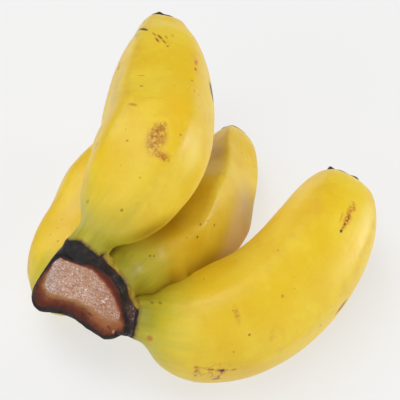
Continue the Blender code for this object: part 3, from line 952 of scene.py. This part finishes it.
# Kind, mm along, mm round, half length, half width, turn in degrees, strength, colour.
# Some tints below are painted shade and painted highlights; each such one is noted.
MARKS = {
    "banana_top": (
        ("tint", 40, 4, 7, 7, 0, 0.5, (236, 184, 30)),
        # Painted shade on the underside of the neck, where it lies over the middle fruit.
        ("tint", 16.5, 14.5, 11, 4.6, 48, 0.75, (166, 120, 12)),
        # Painted shade along the left face, which turns away from the light.
        ("tint", 47, -14.5, 22, 5.5, 0, 0.6, (214, 178, 44)),
        # Painted highlight on the right side.
        ("tint", 33.5, 13, 6, 5, 0, 0.5, (248, 226, 120)),
        ("tint", 31.5, 0.6, 4.4, 4.2, 0, 0.45, (222, 172, 50)),
        ("cloud", 31.7, 0.7, 4.1, 3.9, 0, 0.6, (204, 142, 40)),
        ("speckle", 31.6, 0.5, 4.3, 3.7, 0, 1.0, (170, 104, 14)),
        ("speckle", 34.0, 1.6, 1.7, 1.5, 0, 0.9, (178, 104, 16)),
        ("cloud", 29.2, 3.6, 1.2, 3.4, 0, 0.6, (206, 140, 44)),
        ("speckle", 28.9, 3.8, 0.9, 3.2, 0, 1.0, (184, 106, 18)),
        ("solid", 79.3, -5.3, 2.9, 0.8, 138, 1.0, (88, 42, 38)),
        ("spot", 89.4, -5.6, 1.5, 0.7, 120, 0.85, (130, 78, 44)),
        ("cloud", 79.0, -7.2, 7.0, 1.9, 0, 0.65, (178, 138, 84)),
        ("solid", 75.2, -1.9, 1.5, 0.42, 156, 0.7, BROWN),
        ("streak", 73.6, -0.1, 2.5, 0.7, 154, 1.0, (160, 92, 30)),
        ("streak", 71.6, -1.0, 2.1, 0.6, 158, 1.0, (160, 92, 30)),
        ("solid", 70.8, 1.2, 1.4, 0.42, 152, 0.8, (152, 86, 30)),
        ("streak", 74.0, 1.9, 1.6, 0.42, 158, 0.7, (160, 96, 34)),
        ("spot", 68.4, 2.3, 0.7, 0.6, 0, 0.8, BROWN),
        ("streak", 75.4, 4.0, 1.6, 0.34, 160, 0.55, BROWN),
        ("cloud", 61.6, 11.0, 4.2, 0.9, 0, 0.8, (206, 116, 48)),
        ("spot", 63.8, 11.4, 1.1, 0.6, 0, 0.8, (196, 108, 36)),
        ("spot", 59.2, 10.8, 1.2, 0.6, 0, 0.9, (188, 96, 34)),
        ("spot", 52.0, 9.6, 0.8, 0.6, 0, 0.8, (170, 110, 34)),
        ("spot", 45.6, 10.5, 0.9, 0.6, 0, 0.6, ORANGE),
        ("spot", 45.9, 12.3, 0.6, 0.5, 0, 0.5, ORANGE),
        ("dashes", 59.6, 20.4, 5.4, 2.4, 155, 0.7, (96, 60, 50)),
        ("solid", 59.8, 21.0, 4.2, 2.1, 157, 1.0, (30, 20, 26)),
        ("streak", 50.6, -5.4, 0.5, 1.5, 0, 0.7, (172, 124, 40)),
        ("spot", 43.7, -5.5, 0.6, 0.8, 0, 0.8, (168, 116, 30)),
        ("cloud", 50.0, -13.7, 2.4, 1.1, 0, 0.6, (186, 158, 62)),
        ("streak", 37.2, -8.6, 0.45, 1.8, 0, 0.7, (170, 126, 40)),
        ("spot", 29.1, -7.0, 0.35, 0.5, 0, 0.7, BROWN),
        ("spot", 33.9, 6.6, 0.35, 0.5, 0, 0.6, BROWN),
        ("spot", 17.0, 1.8, 0.55, 0.6, 0, 0.75, (140, 110, 40)),
        ("spot", 23.9, 1.0, 0.3, 0.4, 0, 0.5, BROWN),
        ("cloud", 67.4, -16.3, 3.8, 1.3, 0, 0.9, (196, 116, 50)),
        ("streak", 66.0, -16.2, 1.6, 0.6, 0, 0.9, (158, 78, 40)),
        ("dashes", 26.6, -16.6, 1.7, 0.9, 0, 1.0, (150, 84, 36)),
        ("cloud", 13.0, -8.0, 1.2, 0.8, 0, 0.6, (120, 116, 40)),
    ),
    "banana_middle": (
        # A pale band down the right side: partly the skin's pinkish-brown tinge, mostly painted reflected light.
        ("tint", 50, 11.4, 21, 7.5, 161, 0.6, (232, 198, 120)),
        ("tint", 40, 15.0, 14, 8.5, 158, 0.9, (250, 220, 166)),
        # Painted shade in the pocket near the crown, under the top fruit.
        ("tint", 15, -6, 9, 9, 0, 0.35, (150, 122, 20)),
        # Painted shadow of the top fruit across the upper side.
        ("tint", 24, -7.0, 13, 5.0, -8, 0.4, (146, 102, 6)),
        # Painted shade on the left face near the tip, in the top fruit's shadow.
        ("tint", 66, -5.0, 10, 4.0, 0, 0.5, (196, 152, 40)),
        ("spot", 9.4, 0.2, 0.5, 0.4, 0, 0.8, (84, 66, 24)),
        ("spot", 10.4, 0.9, 0.45, 0.35, 0, 0.8, (84, 66, 24)),
        ("spot", 28.8, 1.2, 0.5, 0.4, 0, 0.9, DARK),
        ("spot", 34.5, 3.3, 0.5, 0.4, 0, 0.7, DARK),
        ("spot", 30.8, -1.0, 0.4, 0.4, 0, 0.7, DARK),
        ("spot", 33.0, 0.2, 0.35, 0.3, 0, 0.6, DARK),
    ),
    "banana_right": (
        ("tint", 71.5, -7.2, 5, 3.5, 0, 0.45, (222, 170, 46)),
        # Painted highlight on the right side near the tip.
        ("tint", 78, 9, 8, 4, 0, 0.45, (250, 230, 130)),
        ("cloud", 22.6, 13.2, 5.6, 4.4, 20, 0.35, (222, 170, 66)),
        ("net", 22.6, 13.0, 5.2, 4.6, 20, 0.6, (186, 112, 34)),
        ("dashes", 22.6, 11.7, 5.2, 0.6, 21, 1.0, (178, 98, 30)),
        ("dashes", 19.2, 12.8, 0.5, 3.4, 0, 1.0, (178, 100, 36)),
        ("spot", 19.1, 10.4, 0.6, 0.75, 0, 0.85, (196, 116, 34)),
        ("dashes", 23.8, 14.9, 0.5, 3.4, 8, 1.0, (150, 76, 36)),
        ("spot", 24.1, 12.4, 0.75, 0.95, 0, 1.0, (84, 32, 26)),
        ("spot", 23.2, 17.4, 1.2, 0.8, 0, 1.0, (88, 44, 36)),
        ("spot", 26.4, 13.0, 0.7, 0.6, 0, 0.85, (196, 104, 40)),
        ("speckle", 73.6, 2.6, 5.6, 1.7, 4, 0.95, (190, 102, 38)),
        ("dashes", 72.0, 2.5, 4.6, 0.75, 4, 1.0, (152, 70, 26)),
        ("speckle", 77.6, 3.4, 2.6, 1.4, -20, 0.85, (190, 100, 40)),
        ("streak", 72.3, 0.6, 2.4, 0.4, 0, 0.6, ORANGE),
        ("spot", 68.7, 2.2, 0.7, 0.65, 0, 1.0, (92, 26, 22)),
        ("tint", 29.3, -2.8, 1.4, 4.6, 0, 0.25, (206, 146, 50)),
        ("dashes", 29.3, -2.8, 0.9, 3.6, 0, 0.6, (196, 132, 50)),
        ("tint", 5.5, -1.5, 5.0, 6.0, 0, 0.5, (140, 136, 24)),
        ("spot", 7.5, 4.1, 1.3, 1.4, 0, 0.85, (186, 116, 14)),
        ("spot", 6.2, -6.4, 0.8, 0.8, 0, 0.6, (96, 98, 40)),
        ("spot", 8.4, -7.2, 0.8, 0.8, 0, 0.6, (96, 98, 40)),
        ("spot", 56.2, 19.6, 3.6, 1.7, 0, 0.95, (112, 68, 30)),
        ("spot", 30.7, 4.0, 0.5, 0.5, 0, 0.9, (186, 76, 34)),
        ("spot", 41.3, -0.8, 0.6, 0.7, 0, 0.9, (206, 130, 36)),
        ("spot", 47.4, 15.8, 0.5, 0.5, 0, 0.7, BROWN),
        ("spot", 23.2, -18.4, 0.4, 0.6, 0, 0.7, BROWN),
        ("cloud", 35.3, 7.1, 1.0, 2.6, 20, 0.5, (216, 160, 60)),
    ),
    "banana_left": (
        ("cloud", 31.6, -13.5, 4.4, 1.3, -15, 0.9, (216, 134, 62)),
        ("cloud", 18.0, -14.3, 5.4, 0.9, -22, 0.8, (222, 144, 64)),
        # Painted shade along the side where the top fruit lies against it.
        ("tint", 40, -5, 14, 5, 0, 0.4, (219, 182, 96)),
        # Painted light on the lower part, where the light falls.
        ("tint", 20, -8, 8, 6, 0, 0.4, (248, 222, 96)),
        # Painted shade near the crown.
        ("tint", 10, -2, 6, 6, 0, 0.5, (206, 176, 46)),
        ("spot", 27.7, -5.4, 0.4, 0.4, 0, 0.6, ORANGE),
        ("spot", 25.6, -6.6, 0.4, 0.4, 0, 0.5, ORANGE),
        ("spot", 30.2, -5.7, 0.4, 0.4, 0, 0.5, ORANGE),
    ),
}
DRY_TO = {"banana_top": 2.45}
# How strong the painted crease shade between fruits is on each fruit.
CREASE_SHADE = {"banana_left": 0.2, "banana_right": 0.6, "banana_middle": 0.8}

for name, fruit in fruits.items():
    piece = build_fruit(fruit)
    piece.data.materials.append(peel(name + "_skin", MARKS[name], dry_to=DRY_TO.get(name, -9.0), folds=CREASE_SHADE.get(name, 1.0)))
    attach(piece, "root")
    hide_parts(name)

piece = build_crown()
piece.data.materials.append(bark())
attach(piece, "root")
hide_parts("crown")

# ------------------------------------------------------ floor, light, camera
bpy.ops.mesh.primitive_plane_add(size=8, location=(0, 0, -0.00002))
floor = bpy.context.object
floor.name = "studio_floor"
paper = bpy.data.materials.new("paper")
paper.use_nodes = True
shader = paper.node_tree.nodes["Principled BSDF"]
shader.inputs["Base Color"].default_value = (0.3, 0.3, 0.3, 1)
shader.inputs["Roughness"].default_value = 0.9
shader.inputs["Specular IOR Level"].default_value = 0.1
shader.inputs["Emission Color"].default_value = (1, 1, 1, 1)
shader.inputs["Emission Strength"].default_value = 0.605
floor.data.materials.append(paper)

world = bpy.data.worlds.new("studio")
world.use_nodes = True
world.node_tree.nodes["Background"].inputs["Color"].default_value = (1, 1, 1, 1)
world.node_tree.nodes["Background"].inputs["Strength"].default_value = 0.03
scene.world = world


def softbox(name, azimuth, elevation, power, size=0.8, away=1.2):
    """A square light that faces the hand; azimuth 0 is the camera's side, 90 the picture's right."""
    a, e = math.radians(azimuth), math.radians(elevation)
    at = Vector((math.sin(a) * math.cos(e), -math.cos(a) * math.cos(e), math.sin(e))) * away
    light = bpy.data.lights.new(name, "AREA")
    light.shape = "SQUARE"
    light.size = size
    light.energy = power
    made = bpy.data.objects.new(name, light)
    made.location = at
    made.rotation_mode = "QUATERNION"
    made.rotation_quaternion = (-at).to_track_quat("-Z", "Y")
    scene.collection.objects.link(made)
    return made


softbox("right_softbox", 100, 13, 6.6, size=0.5)
softbox("back_left_softbox", 225, 55, 5.3)
softbox("back_softbox", 180, 50, 0.7)
softbox("left_softbox", 315, 22, 2.8)
softbox("left_top_softbox", 315, 55, 2.6)
softbox("front_softbox", 0, 22, 1.6)
softbox("front_right_softbox", 45, 22, 2.15)
softbox("top_softbox", 0, 88, 4.2)

LOOK_AT = Vector((-0.96, -13.74, 42.35)) * MM
camera_data = bpy.data.cameras.new("camera")
camera_data.sensor_width = 36
camera_data.lens = 36 * 1380 / 400
camera = bpy.data.objects.new("camera", camera_data)
back = Vector(EYE)
camera.location = LOOK_AT + back * 0.4
camera.rotation_mode = "QUATERNION"
camera.rotation_quaternion = (-back).to_track_quat("-Z", "Y")
camera_data.clip_start, camera_data.clip_end = 0.02, 20
scene.collection.objects.link(camera)
scene.camera = camera

scene.view_settings.view_transform = "Standard"

bpy.context.view_layer.update()
